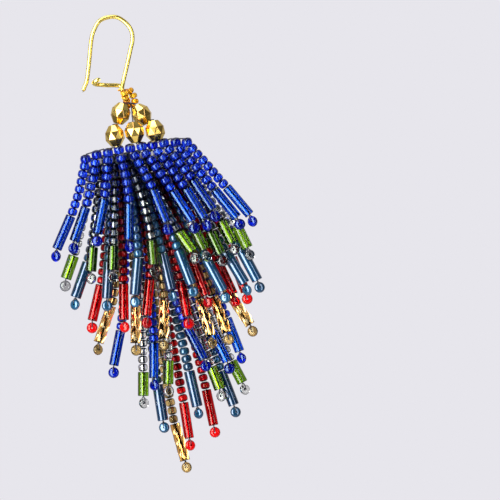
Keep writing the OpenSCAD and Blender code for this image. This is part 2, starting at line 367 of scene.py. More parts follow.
@dataclass(frozen=True)
class ThreadFinish(TwoToneFinish):
    """Waxed thread with fine fibres."""

    def dress(self, sheet: NodeSheet) -> None:
        """Sets up a dull fibrous surface."""
        fibre = sheet.noise(scale=9000.0, detail=3.0)
        sheet.set(Base_Color=sheet.ramp(fibre, [(0.35, self.dark), (0.7, self.light)]), Roughness=0.5)
        sheet.bump(fibre, strength=0.6, distance=0.03)


# ---------------- modelling calls


class Part(Enum):
    """The kinds of mesh element that can be picked."""

    FACES = "FACE"
    EDGES = "EDGE"
    CORNERS = "VERT"


def select(*pieces: Piece) -> None:
    """Selects objects and nothing else.

    Args:
        *pieces: The objects, the first of which becomes the active one.
    """
    bpy.ops.object.select_all(action="DESELECT")
    for piece in pieces:
        piece.select_set(True)
    if pieces:
        bpy.context.view_layer.objects.active = pieces[0]


def pick(piece: Piece, part: Part, rule: Callable[..., bool]) -> None:
    """In edit mode, selects the elements that a rule names and nothing else.

    Args:
        piece: The object in edit mode.
        part: The kind of element.
        rule: Says whether an element is picked, by its place, normal or number.
    """
    bpy.ops.mesh.select_mode(type=part.value)
    bpy.ops.mesh.select_all(action="DESELECT")
    shape = bmesh.from_edit_mesh(piece.data)
    elements = {Part.FACES: shape.faces, Part.EDGES: shape.edges, Part.CORNERS: shape.verts}[part]
    for element in elements:
        element.select_set(rule(element))
    bmesh.update_edit_mesh(piece.data)


def drill(piece: Piece, outer: float, hole: float, cuts: int = 0) -> None:
    """In edit mode, drills a solid along Z and gives the new wall the second finish.

    Args:
        piece: The object in edit mode, with flat ends across Z.
        outer: Radius of its ends, in metres.
        hole: Radius of the hole, in metres.
        cuts: Rings of edges that the new wall has between its ends.
    """
    pick(piece, Part.FACES, lambda face: abs(face.normal.z) > 0.99)
    bpy.ops.mesh.inset(thickness=outer - hole, depth=0.0)
    bpy.ops.mesh.delete(type="FACE")
    pick(piece, Part.EDGES, lambda edge: edge.is_boundary)
    bpy.ops.mesh.bridge_edge_loops(number_cuts=cuts, interpolation="LINEAR")
    piece.active_material_index = 1
    bpy.ops.object.material_slot_assign()


def face_outwards() -> None:
    """In edit mode, selects everything and turns its normals outwards."""
    bpy.ops.mesh.select_all(action="SELECT")
    bpy.ops.mesh.normals_make_consistent(inside=False)


def finish_mesh(piece: Piece, angle: float) -> None:
    """Leaves edit mode with normals outwards, and shades the piece smooth up to an angle.

    Args:
        piece: The object in edit mode.
        angle: Edges sharper than this stay sharp, in degrees.
    """
    face_outwards()
    bpy.ops.object.mode_set(mode="OBJECT")
    select(piece)
    bpy.ops.object.shade_smooth_by_angle(angle=radians(angle))


def carry(piece: Piece, name: str, values: Sequence[float]) -> None:
    """Stores one number for each corner of a piece under a name."""
    piece.data.attributes.new(name, "FLOAT", "POINT").data.foreach_set("value", values)


def mark_bead(piece: Piece, streaks: int, twist: float) -> None:
    """Stores how far along its hole each corner of a bead lies, from -1 to 1, and the streaks round its hole.

    Args:
        piece: The bead, with its hole along Z.
        streaks: Streaks round the hole.
        twist: How far they turn over half the bead's length, in degrees.
    """
    corners = [corner.co.copy() for corner in piece.data.vertices]
    low, high = min(c.z for c in corners), max(c.z for c in corners)
    shares = [2 * (c.z - low) / (high - low) - 1 for c in corners]
    start = 0.7
    waves = [
        sin(streaks * (atan2(c.y, c.x) + radians(twist) * share) + start)
        for c, share in zip(corners, shares)
    ]
    carry(piece, ALONG, shares)
    carry(piece, STREAK, [0.5 + 0.5 * wave for wave in waves])


def give_finishes(piece: Piece, *finishes: Finish) -> None:
    """Gives a piece its finishes, one material slot each.

    Args:
        piece: The piece.
        *finishes: The finishes.
    """
    piece.data.materials.clear()
    for finish in finishes:
        piece.data.materials.append(finish.material())


def turned(degrees: float, axis: str) -> Matrix:
    """Returns a turn about an axis."""
    return Matrix.Rotation(radians(degrees), 4, axis)


def jitter(chance: random.Random, *sizes: float) -> Vector:
    """Returns a small random shift, up to a size each way on each axis; a size of 0 takes no draw."""
    return Vector([chance.uniform(-size, size) if size else 0.0 for size in sizes])


@dataclass(frozen=True)
class Place:
    """Where one copy of a bead goes, and how deep its colour is."""

    matrix: Matrix
    tone: float


def deepened(lowest: float, share: float) -> float:
    """Returns a depth of colour from a lowest one at share 0 to 1 at share 1."""
    return lowest + (1 - lowest) * share


def join(name: str, parts: Sequence[Piece]) -> Piece:
    """Joins parts into one piece.

    Args:
        name: Name of the piece.
        parts: The parts; the first keeps its finishes first.

    Returns:
        The piece.
    """
    select(*parts)
    if len(parts) > 1:
        bpy.ops.object.join()
    piece = bpy.context.view_layer.objects.active
    piece.name = piece.data.name = name
    return piece


def deliver(piece: Piece, body: Body, slot: str, *nodes: str) -> None:
    """Puts a finished piece on its body in place of CAD nodes.

    Args:
        piece: The piece.
        body: The body that it rides on.
        slot: The record's material slot; not used.
        *nodes: The CAD nodes that it stands for.
    """
    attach(piece, body.value)
    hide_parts(*nodes)
    LOG.info("%s: %d faces, rides on %s", piece.name, len(piece.data.polygons), body.value)


def dome(before: Vector, end: Vector, radius: float) -> list[tuple[Vector, float]]:
    """Closes a wire's end with a dome.

    Args:
        before: The point before the end.
        end: The end of the line.
        radius: The wire's radius, in metres.

    Returns:
        The dome's points with their shares of the radius.
    """
    along = (end - before).normalized()
    start = end - along * radius
    steps = [radians(angle) for angle in (0, 25, 50, 70, 84)]
    return [(start + along * radius * sin(step), cos(step)) for step in steps]


def tube(name: str, points: Sequence[Vector], radius: float, sides: int, round_ends: bool = False) -> Piece:
    """Makes a round wire or thread along a line.

    Args:
        name: Name of the piece.
        points: The line's points, in metres.
        radius: Its radius, in metres.
        sides: Sides of its section, an even number from 4.
        round_ends: Whether the ends are domed rather than cut off.

    Returns:
        The piece as a mesh.
    """
    select()
    bpy.ops.curve.primitive_nurbs_path_add(radius=MM)
    piece = bpy.context.object
    piece.name = name
    curve = piece.data
    curve.splines.clear()
    line = [(point, 1.0) for point in points]
    if round_ends:
        line = dome(points[1], points[0], radius)[::-1] + line[1:-1] + dome(points[-2], points[-1], radius)
    spline = curve.splines.new("POLY")
    spline.points.add(len(line) - 1)
    for point, (place, share) in zip(spline.points, line):
        point.co = (*place, 1.0)
        point.radius = share
    curve.dimensions = "3D"
    curve.twist_mode = "MINIMUM"
    curve.bevel_depth = radius
    curve.bevel_resolution = sides // 2 - 2
    curve.use_fill_caps = True
    bpy.ops.object.convert(target="MESH")
    piece = bpy.context.object
    bpy.ops.object.mode_set(mode="EDIT")
    bpy.ops.mesh.select_all(action="SELECT")
    bpy.ops.mesh.remove_doubles(threshold=LEVEL)
    finish_mesh(piece, angle=50.0)
    return piece


def smooth_line(points: Sequence[Vector], steps: int) -> list[Vector]:
    """Passes a smooth curve through points.

    Args:
        points: The chosen points.
        steps: New points for each stretch between two of them.

    Returns:
        The curve's points.
    """
    line: list[Vector] = []
    count = len(points)
    for i in range(count - 1):
        a, b = points[max(i - 1, 0)], points[i]
        c, d = points[i + 1], points[min(i + 2, count - 1)]
        for t in (step / steps for step in range(steps)):
            bend = (2 * a - 5 * b + 4 * c - d) * t**2 + (3 * b - a - 3 * c + d) * t**3
            line.append(0.5 * (2 * b + (c - a) * t + bend))
    return line + [points[-1]]


# ---------------- beads


class Bead:
    """A bead, modelled with its hole along Z."""

    smooth: float = 60.0
    streaks: int = 0
    streak_turn: float = 0.0

    def build(self, body: Finish, second: Finish) -> Piece:
        """Models the bead.

        Args:
            body: Finish of the body.
            second: Finish of the hole's wall, or of the worn edges of a faceted bead.

        Returns:
            The bead.
        """
        select()
        bead = self.blank()
        give_finishes(bead, body, second)
        bpy.ops.object.mode_set(mode="EDIT")
        self.shape(bead)
        finish_mesh(bead, self.smooth)
        if self.streaks:
            mark_bead(bead, self.streaks, self.streak_turn)
        return bead

    def blank(self) -> Piece:
        """Adds the plain form that the bead is made from."""
        raise NotImplementedError

    def shape(self, bead: Piece) -> None:
        """In edit mode, shapes the plain form."""
        raise NotImplementedError

    def place(self, body: Finish, second: Finish, places: Sequence[Place], name: str, node: str) -> None:
        """Puts copies of the bead on the drop as one piece.

        Args:
            body: Finish of the body.
            second: The other finish.
            places: Where the copies go.
            name: Name of the piece.
            node: The CAD node that it stands for.
        """
        master = self.build(body, second)
        copies: list[Piece] = []
        for place in places:
            copy = master.copy()
            copy.data = master.data.copy()
            copy.data.transform(place.matrix)
            carry(copy, TONE, [place.tone] * len(copy.data.vertices))
            bpy.context.collection.objects.link(copy)
            copies.append(copy)
        deliver(join(name, copies), Body.DROP, body.slot, node)
        bpy.data.objects.remove(master)


@dataclass
class TubeBead(Bead):
    """A drilled glass cylinder with softened rims: its radius, height, hole's radius, sides and rims."""

    outer: float
    height: float
    hole: float
    sides: int
    rim: float
    segments: int

    @property
    def top(self) -> float:
        """How far its upper end lies above the origin, in millimetres."""
        return self.height / 2

    def blank(self) -> Piece:
        """Adds a cylinder."""
        bpy.ops.mesh.primitive_cylinder_add(
            vertices=self.sides, radius=self.outer * MM, depth=self.height * MM,
            end_fill_type="NGON", location=(0, 0, (self.top - self.height / 2) * MM),
        )
        bpy.ops.object.transform_apply(location=True, rotation=False, scale=False)
        return bpy.context.object

    def shape(self, bead: Piece) -> None:
        """Drills the cylinder and softens its outer rims."""
        outer = self.outer * MM
        drill(bead, outer, self.hole * MM)
        pick(
            bead,
            Part.EDGES,
            lambda edge: min(v.co.xy.length for v in edge.verts) > 0.9 * outer
            and abs(edge.verts[0].co.z - edge.verts[1].co.z) < LEVEL,
        )
        bpy.ops.mesh.bevel(offset=self.rim * MM, segments=self.segments, profile=0.5, affect="EDGES", material=0)


@dataclass
class SeedBead(TubeBead):
    """A small round glass bead with a wide hole, with its middle at the origin."""

    outer: float = 0.92
    height: float = 1.42
    hole: float = 0.32
    sides: int = 10
    rim: float = 0.46
    segments: int = 2
    streaks: int = 3


@dataclass
class BugleBead(TubeBead):
    """A glass tube with softened ends, which hangs down from the origin along -Z."""

    hole: float = 0.3
    sides: int = 14
    rim: float = 0.1
    segments: int = 1
    smooth: float = 40.0
    streaks: int = 4

    @property
    def top(self) -> float:
        """How far its upper end lies above the origin, in millimetres."""
        return -BUGLE_GAP


@dataclass
class TwistedBugleBead(BugleBead):
    """A glass tube with shallow flutes that are twisted along its length."""

    smooth: float = 36.0
    streaks: int = 2
    twist: float = 200.0
    steps: int = 16
    relief: float = 0.03

    @property
    def streak_turn(self) -> float:
        """How far the lining's streaks turn over half the bead's length, in degrees."""
        return self.twist / 3

    def blank(self) -> Piece:
        """Adds the bead's upper end as a flat disc."""
        bpy.ops.mesh.primitive_circle_add(vertices=2 * self.sides, radius=self.outer * MM, fill_type="NGON")
        return bpy.context.object

    def shape(self, bead: Piece) -> None:
        """Flutes the disc, draws it down in turning steps and drills the bar."""
        flat = 1 - self.relief
        pick(bead, Part.CORNERS, lambda corner: corner.index % 2 == 1)
        bpy.ops.transform.resize(value=(flat, flat, 1))
        bpy.ops.mesh.select_mode(type=Part.FACES.value)
        bpy.ops.mesh.select_all(action="SELECT")
        bpy.ops.transform.translate(value=(0, 0, self.top * MM))
        step = self.height / self.steps * MM
        for _ in range(self.steps):
            bpy.ops.mesh.extrude_region_move(TRANSFORM_OT_translate={"value": (0, 0, -step)})
            bpy.ops.transform.rotate(
                value=radians(self.twist / self.steps), orient_axis="Z", center_override=(0, 0, 0)
            )
        face_outwards()
        drill(bead, flat * self.outer * MM, self.hole * MM, self.steps)


@dataclass
class FacetedBead(Bead):
    """A round bead cut with a band of trapezoids, a zigzag girdle and a second band."""

    diameter: float
    height: float
    bore: float = 0.45
    facets: int = 8
    edge: float = 0.07
    edge_angle: float = 8.0
    smooth: float = 6.0

    def blank(self) -> Piece:
        """Adds the ring round the mouth of the bore."""
        bpy.ops.mesh.primitive_circle_add(vertices=self.facets, radius=self.bore * MM, fill_type="NOTHING")
        return bpy.context.object

    def shape(self, bead: Piece) -> None:
        """Draws the ring down from the top, ring by ring, and wears the edges between the facets."""
        half_d, half_h = self.diameter / 2 * MM, self.height / 2 * MM
        z, radius = half_h, self.bore * MM
        turn = pi / self.facets
        # Columns: radius, share of the half height, turn.
        rings = (
            (half_d / 2, 1, 0), (half_d, 0.36, 0), (half_d, -0.36, turn), (half_d / 2, -1, 0), (radius, -1, 0)
        )
        bpy.ops.mesh.select_all(action="SELECT")
        bpy.ops.transform.translate(value=(0, 0, z))
        bpy.ops.mesh.select_mode(type=Part.EDGES.value)
        for new_r, high, turn in rings:
            new_z, scale = high * half_h, new_r / radius
            bpy.ops.mesh.extrude_region_move(TRANSFORM_OT_translate={"value": (0, 0, new_z - z)})
            bpy.ops.transform.resize(value=(scale, scale, 1), center_override=(0, 0, new_z))
            bpy.ops.transform.rotate(value=turn, orient_axis="Z", center_override=(0, 0, new_z))
            z, radius = new_z, new_r
        pick(bead, Part.EDGES, lambda edge: edge.is_boundary)
        bpy.ops.mesh.bridge_edge_loops()
        pick(
            bead,
            Part.FACES,
            lambda face: abs(face.calc_center_median().z) < 0.1 * half_h
            and face.calc_center_median().xy.length > 0.5 * half_d,
        )
        bpy.ops.mesh.quads_convert_to_tris(quad_method="SHORTEST_DIAGONAL")
        face_outwards()
        bpy.ops.object.mode_set(mode="OBJECT")
        bevel = bead.modifiers.new("worn_edges", "BEVEL")
        bevel.width = self.edge * MM
        bevel.segments = 1
        bevel.angle_limit = radians(self.edge_angle)
        bevel.material = 1
        bpy.ops.object.modifier_apply(modifier=bevel.name)
        bpy.ops.object.mode_set(mode="EDIT")


# ---------------- strands


SEED_SILVER = LiningFinish("seed_lining", "seeds_clear", (0.95, 0.95, 0.93), 0.32, fade_start=0.4)
BUGLE_SILVER = LiningFinish("bugle_lining", "bugles_blue", (1.0, 1.0, 0.98), 0.27, fade_start=0.9, streak=0.25)
AMBER_SILVER = LiningFinish("amber_bugle_lining", "bugles_amber", (1.0, 0.95, 0.8), 0.2, 0.9, streak=0.02)
# Nearly black lining: painted shade inside the holes of the steel beads and the end beads.
HOLE_SHADE_LINING = LiningFinish("painted_hole_shade", "seeds_steel", (0.03, 0.05, 0.08), 0.4)

BLUE_SHEEN = (0.5, 0.75, 1.0)
GREEN_SHEEN = (0.85, 1.0, 0.75)
RED_SHEEN = (1.0, 0.5, 0.45)
AMBER_SHEEN = (1.0, 0.85, 0.5)
LOOP_SHEEN = (1.0, 0.7, 0.25)
CLEAR_SHEEN = (0.85, 1.0, 0.92)


@dataclass(frozen=True)
class StrandKind:
    """What the strands of one colour share: finishes, beads and the light on the inner ones."""

    seed_glass: Finish
    bugle_glass: Finish
    bugle: BugleBead
    seed: SeedBead = field(default_factory=SeedBead)
    seed_lining: Finish = SEED_SILVER
    bugle_lining: Finish = BUGLE_SILVER
    pitch: float = 1.5
    shade: float = 2.0
    deep_light: float = 0.1
    end_light: float = 1.0

    def light(self, share: float) -> float:
        """Returns the light on a bead of a back row, deep in the tassel at share 0 and free at share 1."""
        return min(1.0, self.deep_light + 2 * share**self.shade)


BLUE = StrandKind(
    GlassFinish("blue_seed_glass", "seeds_blue", (0.0003, 0.002, 0.5), (0.014, 0.07, 1.0), BLUE_SHEEN, clear=0.9),
    GlassFinish("blue_bugle_glass", "bugles_blue", (0.001, 0.012, 0.32), (0.004, 0.08, 0.75), BLUE_SHEEN, 0.94),
    BugleBead(outer=0.95, height=6.8),
    pitch=1.45,
    end_light=0.2,
)
GREEN = StrandKind(
    GlassFinish("clear_seed_glass", "seeds_clear", (0.0, 0.006, 0.05), (1.0, 1.0, 0.95), CLEAR_SHEEN),
    GlassFinish("green_bugle_glass", "bugles_green", (0.03, 0.12, 0.002), (0.24, 0.48, 0.012), GREEN_SHEEN, 0.94),
    BugleBead(outer=1.05, height=4.6),
    shade=1.0,
)
STEEL = StrandKind(
    LustreFinish("steel_seed_lustre", "seeds_steel", (0.002, 0.013, 0.045), (0.011, 0.085, 0.18)),
    LustreFinish("steel_bugle_lustre", "bugles_steel", (0.0015, 0.016, 0.05), (0.006, 0.06, 0.145)),
    BugleBead(outer=1.05, height=7.0, sides=20),
    SeedBead(outer=1.0),
    HOLE_SHADE_LINING,
    HOLE_SHADE_LINING,
)
RED = StrandKind(
    GlassFinish("red_seed_glass", "seeds_red", (0.01, 0.0, 0.01), (1.0, 0.006, 0.007), RED_SHEEN, clear=0.75),
    GlassFinish("red_bugle_glass", "bugles_red", (0.25, 0.0, 0.001), (1.0, 0.004, 0.006), RED_SHEEN, 0.94),
    BugleBead(outer=0.95, height=7.0),
)
GOLD = StrandKind(
    GlassFinish("amber_seed_glass", "seeds_amber", (0.1, 0.04, 0.008), (1.0, 0.68, 0.24), AMBER_SHEEN, clear=0.93),
    GlassFinish(
        "amber_bugle_glass", "bugles_amber", (0.8, 0.38, 0.07), (1.0, 0.6, 0.2), AMBER_SHEEN, 0.94, ripple=0.03
    ),
    TwistedBugleBead(outer=1.0, height=7.4, sides=6),
    bugle_lining=AMBER_SILVER,
    pitch=1.6,
)
KINDS = (BLUE, GREEN, STEEL, RED, GOLD)


def hang(lean: float, out: float) -> Vector:
    """Returns the way down with a lean to the right and one towards the viewer, in degrees."""
    a, o = radians(lean), radians(out)
    return Vector((sin(a) * cos(o), -sin(o), -cos(a) * cos(o)))


def hanging_matrix(place: Vector, lean: float, out: float) -> Matrix:
    """Returns the place of something that hangs along its own -Z from a place in millimetres, with such leans."""
    return Matrix.Translation(place * MM) @ turned(-lean, "Y") @ turned(-out, "X")


@dataclass(frozen=True)
class Strand:
    """One strand: where it starts, how long it is and how it leans."""

    root: Vector
    seeds: int
    lean: float
    tilt: float
    out: float
    kind: StrandKind
    sag: float

    @property
    def length(self) -> float:
        """Length of the string of seed beads, in millimetres."""
        return self.seeds * self.kind.pitch

    def along(self, distance: float) -> tuple[Vector, Vector]:
        """Follows the string down from its root.

        Args:
            distance: How far, in millimetres.

        Returns:
            The place there and the direction of the string.
        """
        turn = STRING_BEND * (self.tilt - self.lean)
        steps = 24
        place = self.root.copy()
        for i in range(steps):
            share = (i + 0.5) / steps * distance / self.length
            place += distance / steps * hang(self.lean + turn * (share - 0.5), self.out * share)
        share = distance / self.length
        place.z -= self.sag * (1 - share)
        return place, hang(self.lean + turn * (share - 0.5), self.out * share)

    def bugle_matrix(self) -> Matrix:
        """Returns the place of the bugle bead, which hangs from the string's end along -Z."""
        return hanging_matrix(self.along(self.length)[0], self.tilt, self.out)

    def end_matrix(self) -> Matrix:
        """Returns the place of the end bead's thread, which hangs from the bugle more steeply than the bugle."""
        foot = self.along(self.length)[0] + (BUGLE_GAP + self.kind.bugle.height) * hang(self.tilt, self.out)
        return hanging_matrix(foot, END_HANG * self.tilt, self.out)


# Columns: seed beads, lean of the string, lean of the bugle, lean towards the viewer, in degrees.
STRAND_TABLE: tuple[tuple[tuple[int, float, float, float], ...], ...] = (
    ((8, -22, -32, 3), (7, -20, -28, 3), (6, -13, -20, 3), (7, 2, -9, 3), (6, 20, 13, 5),
     (7, 26, 24, 5), (7, 28, 23, 4), (6, 29, 25, 5), (8, 30, 30, 3), (8, 31, 31, 3)),
    ((12, -20, -28, 3), (11, -16, -13, 5), (11, -10, -11, 5), (11, 8, -4, 3), (11, 19, 26, 6),
     (11, 22, 18, 5), (12, 23, 16, 5), (11, 26, 18, 5), (12, 26, 17, 3)),
    ((12, -16, -28, 3), (12, -10, -12, 4), (12, 1, -14, 3), (12, 9, 5, 3), (12, 12, 12, 3),
     (14, 18, 19, 4), (14, 23, 22, 4), (14, 25, 19, 3)),
    ((14, -12, -22, 3), (14, -6, -8, 3), (14, 2, -14, 3), (15, 11, 2, 3), (13, 15, 12, 4),
     (14, 21, 16, 5), (14, 23, 12, 2)),
    ((15, -10, -28, 3), (15, -4, -9, 3), (15, 4, -10, 3), (16, 14, 8, 5), (16, 15, 12, 3),
     (16, 17, 25, 3)),
    ((19, -9, -20, 3), (21, -1, -9, 3), (20, 8, 19, 5), (21, 12, 18, 5), (20, 15, 12, 3)),
    ((23, -4, -9, 3), (22, 1, -10, 3), (24, 10, 12, 3), (24, 13, 19, 3)),
    ((24, -2, 0, 3), (23, 5, 4, 3), (24, 11, 12, 3)),
    ((26, 3, 0, 3), (25, 7, 3, 3)),
    ((26, -2, 7, 3),),
)
ROWS = range(1, len(STRAND_TABLE) + 1)


def row_kind(row: int) -> StrandKind:
    """Returns the kind of strand that a row has; the kinds repeat."""
    return KINDS[(row - 1) % len(KINDS)]


def bead_place(at: Vector, up: Vector, wide: float, high: float, chance: random.Random) -> Place:
    """Places one seed bead with its small tilt and size difference.

    Args:
        at: Its middle, in millimetres.
        up: Direction of its hole.
        wide: Share of the master's width.
        high: Share of the master's height.
        chance: Source of the differences.

    Returns:
        Its place.
    """
    wide *= chance.uniform(*WIDTHS)
    high *= chance.uniform(*HEIGHTS)
    turn = up.to_track_quat("Z", "Y").to_matrix().to_4x4()
    tilt = turned(chance.uniform(-TILT, TILT), "X") @ turned(chance.uniform(-TILT, TILT), "Y")
    spin = Matrix.Rotation(chance.uniform(0, tau), 4, "Z")
    scale = Matrix.Diagonal((wide, wide, high, 1))
    return Place(Matrix.Translation(at * MM) @ turn @ tilt @ spin @ scale, chance.random())


@dataclass
class Fringe:
    """The stitched triangle and the strands that hang from it."""

    base_x: float = 2.2
    base_y: float = -5.2
    top_z: float = -25.0
    bead_pitch: float = 2.15
    row_drop: float = 1.3
    row_back: float = 1.8
    stitch_size: float = 1.12
    string_start: float = 0.8
    seed_gap: float = 0.04
    end_gap: float = 0.3
    end_outer: float = 1.05
    end_thick: float = 0.84
    end_height: float = 0.95
    end_hole: float = 0.18
    end_sag: float = 0.55
    sag_power: int = 5
    stitch_up: Triple = (0, -0.35, 0.94)
    stitch_lean: Triple = (0.1, 0, 0)
    root_shift: Triple = (0.06, 0, 0.12)
    string_shift: Triple = (0.05, 0.05, 0)
    seed_tone: float = 0.35
    bugle_tone: float = 0.1
    end_tone: float = 0.4

    def sag(self, share: float) -> float:
        """Returns how far the top row droops at a place from -1, its left end, to 1, its right end."""
        return self.end_sag * abs(share) ** self.sag_power

    def strands(self, row: int) -> list[Strand]:
        """Works out the strands of a row.

        Args:
            row: Row number, 1 for the top one.

        Returns:
            The strands from left to right.
        """
        table = STRAND_TABLE[row - 1]
        last = len(table) - 1
        return [
            Strand(
                Vector((
                    self.base_x + (j - last / 2) * self.bead_pitch,
                    self.base_y + (row - 1) * self.row_back,
                    self.top_z - (row - 1) * self.row_drop,
                )),
                seeds, lean, tilt, out, row_kind(row),
                self.sag(2 * j / last - 1) if row == 1 else 0.0,
            )
            for j, (seeds, lean, tilt, out) in enumerate(table)
        ]

    def seed_places(self, row: int, chance: random.Random) -> list[Place]:
        """Places a row's seed beads: for each strand its stitched bead, then its string.

        Args:
            row: Row number.
            chance: Source of the small differences between beads.

        Returns:
            Their places.
        """
        places: list[Place] = []
        for strand in self.strands(row):
            up = Vector(self.stitch_up) + jitter(chance, *self.stitch_lean)
            root = strand.along(0)[0] + jitter(chance, *self.root_shift)
            places.append(bead_place(root, up, self.stitch_size, self.stitch_size, chance))
            count = strand.seeds - 1
            pitch = (strand.length - self.string_start) / count
            for i in range(count):
                place, way = strand.along(self.string_start + (i + 0.5) * pitch)
                place += jitter(chance, *self.string_shift)
                bead = bead_place(place, -way, 1.0, (pitch - self.seed_gap) / strand.kind.seed.height, chance)
                # Upper beads of the back rows get a lower tone: painted shade deep in the tassel.
                light = 1.0 if row == 1 else strand.kind.light(i / count)
                places.append(Place(bead.matrix, light * deepened(self.seed_tone, bead.tone)))
        return places

    def bugle_places(self, row: int, chance: random.Random) -> list[Place]:
        """Places a row's bugle beads, each turned by some of its sides.

        Args:
            row: Row number.
            chance: Source of the turns and tones.

        Returns:
            Their places.
        """
        strands = self.strands(row)
        sides = row_kind(row).bugle.sides
        spins = [Matrix.Rotation(tau * chance.randrange(sides) / sides, 4, "Z") for _ in strands]
        return [
            Place(strand.bugle_matrix() @ spin, deepened(self.bugle_tone, chance.random()))
            for strand, spin in zip(strands, spins)
        ]

    def end_places(self, row: int, chance: random.Random) -> list[Place]:
        """Places a row's end beads, which lie across their thread.

        Args:
            row: Row number.
            chance: Source of the tones.

        Returns:
            Their places.
        """
        below = Matrix.Translation((0, 0, -self.end_drop * MM))
        return [
            Place(
                strand.end_matrix() @ below @ self.end_turn(row, column) @ turned(90, "X"),
                strand.kind.end_light * deepened(self.end_tone, chance.random()),
            )
            for column, strand in enumerate(self.strands(row), 1)
        ]

    @property
    def end_drop(self) -> float:
        """How far below the bugle bead the end bead's middle lies, in millimetres."""
        return self.end_gap + self.end_outer

    @staticmethod
    def end_turn(row: int, column: int) -> Matrix:
        """Returns the turn of an end bead about its strand, up to 40 degrees each way."""
        return turned(((row * 37 + column * 53) % 80) - 40, "Z")

    def build(self) -> None:
        """Builds the seed beads, bugle beads and end beads of every row."""
        chance = random.Random(SEED)
        end = SeedBead(self.end_outer, self.end_height, self.end_hole, sides=14, streaks=0)
        for row in ROWS:
            kind = row_kind(row)
            for bead, body, lining, places, name, node in (
                (kind.seed, kind.seed_glass, kind.seed_lining, self.seed_places, "seeds", "fringe"),
                (kind.bugle, kind.bugle_glass, kind.bugle_lining, self.bugle_places, "bugle_glass", "bugles"),
                (end, kind.seed_glass, HOLE_SHADE_LINING, self.end_places, "end_seeds", "end_beads"),
            ):
                bead.place(body, lining, places(row, chance), f"{name}_row_{row:02d}", f"{node}_row_{row:02d}")


# ---------------- head


WIRE_GOLD = GoldFinish("wire_gold", "gold_wire", (1.0, 0.8, 0.2), (0.92, 0.7, 0.15), 0.24, 700.0)
FACET_GOLD = GoldFinish("facet_gold", "gold_coat", (1.0, 0.76, 0.19), (0.85, 0.57, 0.13), 0.21, 500.0)
WORN_EDGE = GoldFinish("facet_edge", "gold_coat", (0.6, 0.34, 0.1), (0.3, 0.16, 0.05), 0.3, 1500.0)
LOOP_GLASS = GlassFinish(
    "loop_glass_amber", "loop_glass", (1.0, 0.36, 0.004), (1.0, 0.66, 0.06), LOOP_SHEEN, 0.7, clear=0.7
)
BRASS_LINING = LiningFinish("gold_lining", "loop_glass", (1.0, 0.78, 0.35), 0.3, fade_start=0.7)
THREAD = ThreadFinish("waxed_thread", "thread", (0.004, 0.004, 0.008), (0.03, 0.03, 0.05))
LOOP_THREAD = ThreadFinish("loop_thread", "thread", (0.5, 0.2, 0.02), (0.8, 0.42, 0.07))


@dataclass
class EarWire:
    """The bent wire: pin, arch, leg, pinched eye, catch arm and hook."""

    wire_d: float = 0.8
    eye_gap: float = 0.75
    drop: float = 14.25
    width: float = 10.9
    eye_share: float = 0.11
    thread_lift: float = 0.25

    @property
    def eye_r(self) -> float:
        """Radius of the eye's bend along the wire's middle."""
        return (self.eye_gap + self.wire_d) / 2

    @property
    def eye_x(self) -> float:
        """Place of the eye across."""
        return self.eye_share * self.width

    @property
    def pivot(self) -> Vector:
        """Where the thread crosses the eye, above the wire's lowest bend."""
        return Vector((self.eye_x, 0, -self.drop + self.wire_d / 2 + self.thread_lift))

    def line(self) -> list[Vector]:
        """Lays out the wire's middle.

        Returns:
            The chosen points along it, in millimetres.
        """
        # Shares of the wire's width, the eye's radius and the wire's drop.
        top = (
            (-0.57, 0, -0.885), (-0.525, 0, -0.825), (-0.475, 0, -0.755), (-0.395, 0, -0.545),
            (-0.285, 0, -0.225), (-0.2, 0, -0.09), (-0.085, 0, 0.007), (0.083, 0, 0.035),
            (0.24, 0, 0.007), (0.376, 0, -0.098), (0.431, 0, -0.21), (0.418, 0, -0.325),
            (0.358, 0, -0.443), (0.266, 0, -0.625), (0.183, 0, -0.78), (0.138, -0.3, -0.87),
        )
        arm = (
            (0.087, 1.15, -0.895), (0.01, 1.15, -0.874), (-0.138, 0.77, -0.856), (-0.265, 0.26, -0.835),
            (-0.33, -0.39, -0.825), (-0.358, -1.35, -0.807), (-0.326, -2.2, -0.79), (-0.257, -2.45, -0.775),
        )
        eye_z = -self.drop + self.eye_r
        eye = [
            Vector((self.eye_x, -self.eye_r * cos(a), eye_z - self.eye_r * sin(a)))
            for a in (radians(angle) for angle in range(0, 181, 30))
        ]
        pin_side, catch = (
            [Vector((x * self.width, y * self.eye_r, z * self.drop)) for x, y, z in part] for part in (top, arm)
        )
        return pin_side + eye + catch

    def build(self) -> None:
        """Builds the wire."""
        points = [p * MM for p in smooth_line(self.line(), steps=6)]
        wire = tube("ear_wire_polished", points, self.wire_d / 2 * MM, sides=16, round_ends=True)
        give_finishes(wire, WIRE_GOLD)
        deliver(wire, Body.EAR_WIRE, WIRE_GOLD.slot, "ear_wire")


